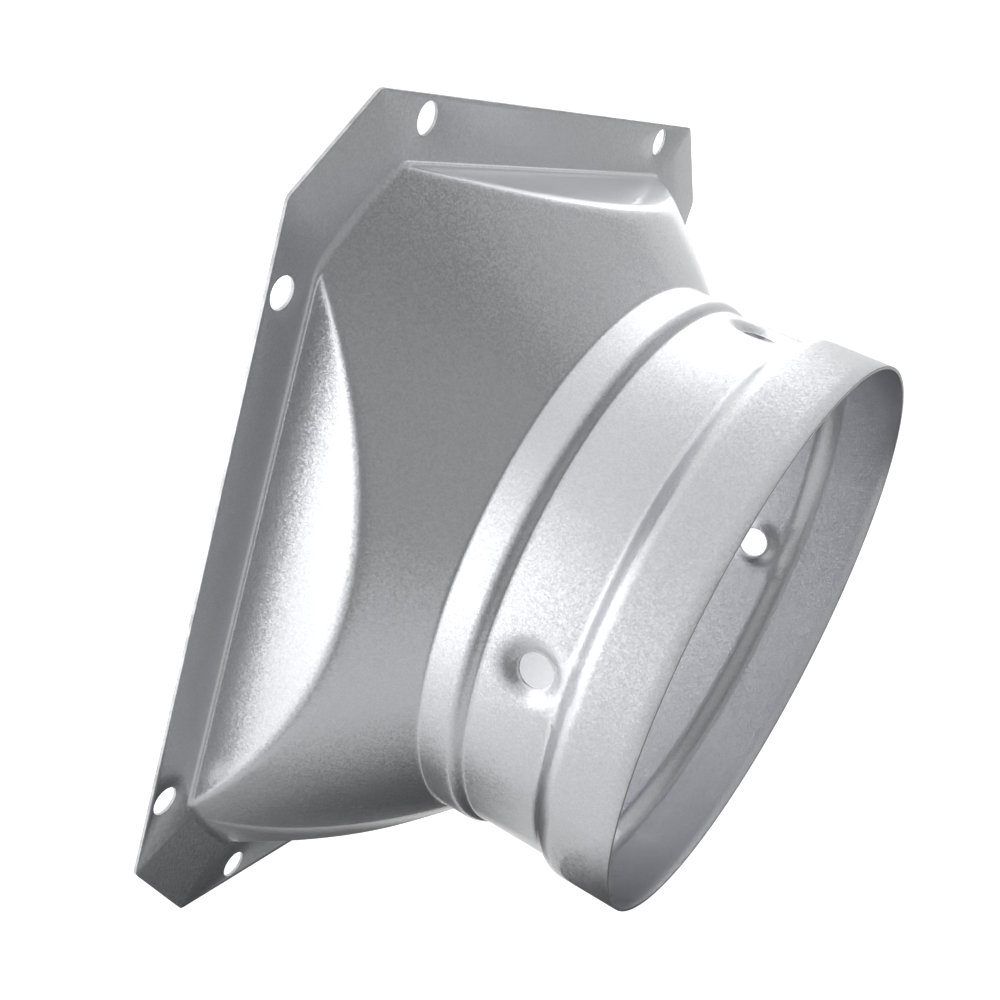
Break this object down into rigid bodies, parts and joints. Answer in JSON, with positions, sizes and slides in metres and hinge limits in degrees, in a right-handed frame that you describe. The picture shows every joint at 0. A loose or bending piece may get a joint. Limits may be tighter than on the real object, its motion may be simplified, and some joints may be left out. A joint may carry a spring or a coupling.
{
  "type": "duct connector",
  "caption": "Pressed sheet-metal duct connector from a square screw-on flange to a round flared collar with dimpled screw holes.",
  "frame": {"origin": "centre of the flange's flat back face", "axes": "+Z along the duct's axis from the flange to the open mouth; X and Y square to the flange's sides"},
  "size_m": [0.138, 0.138, 0.0644],
  "materials": {
    "painted_sheet": "satin silver-grey paint with a fine metallic grain"
  },
  "bodies": {
    "root": {"pressed_connector": "painted_sheet"}
  },
  "joints": []
}
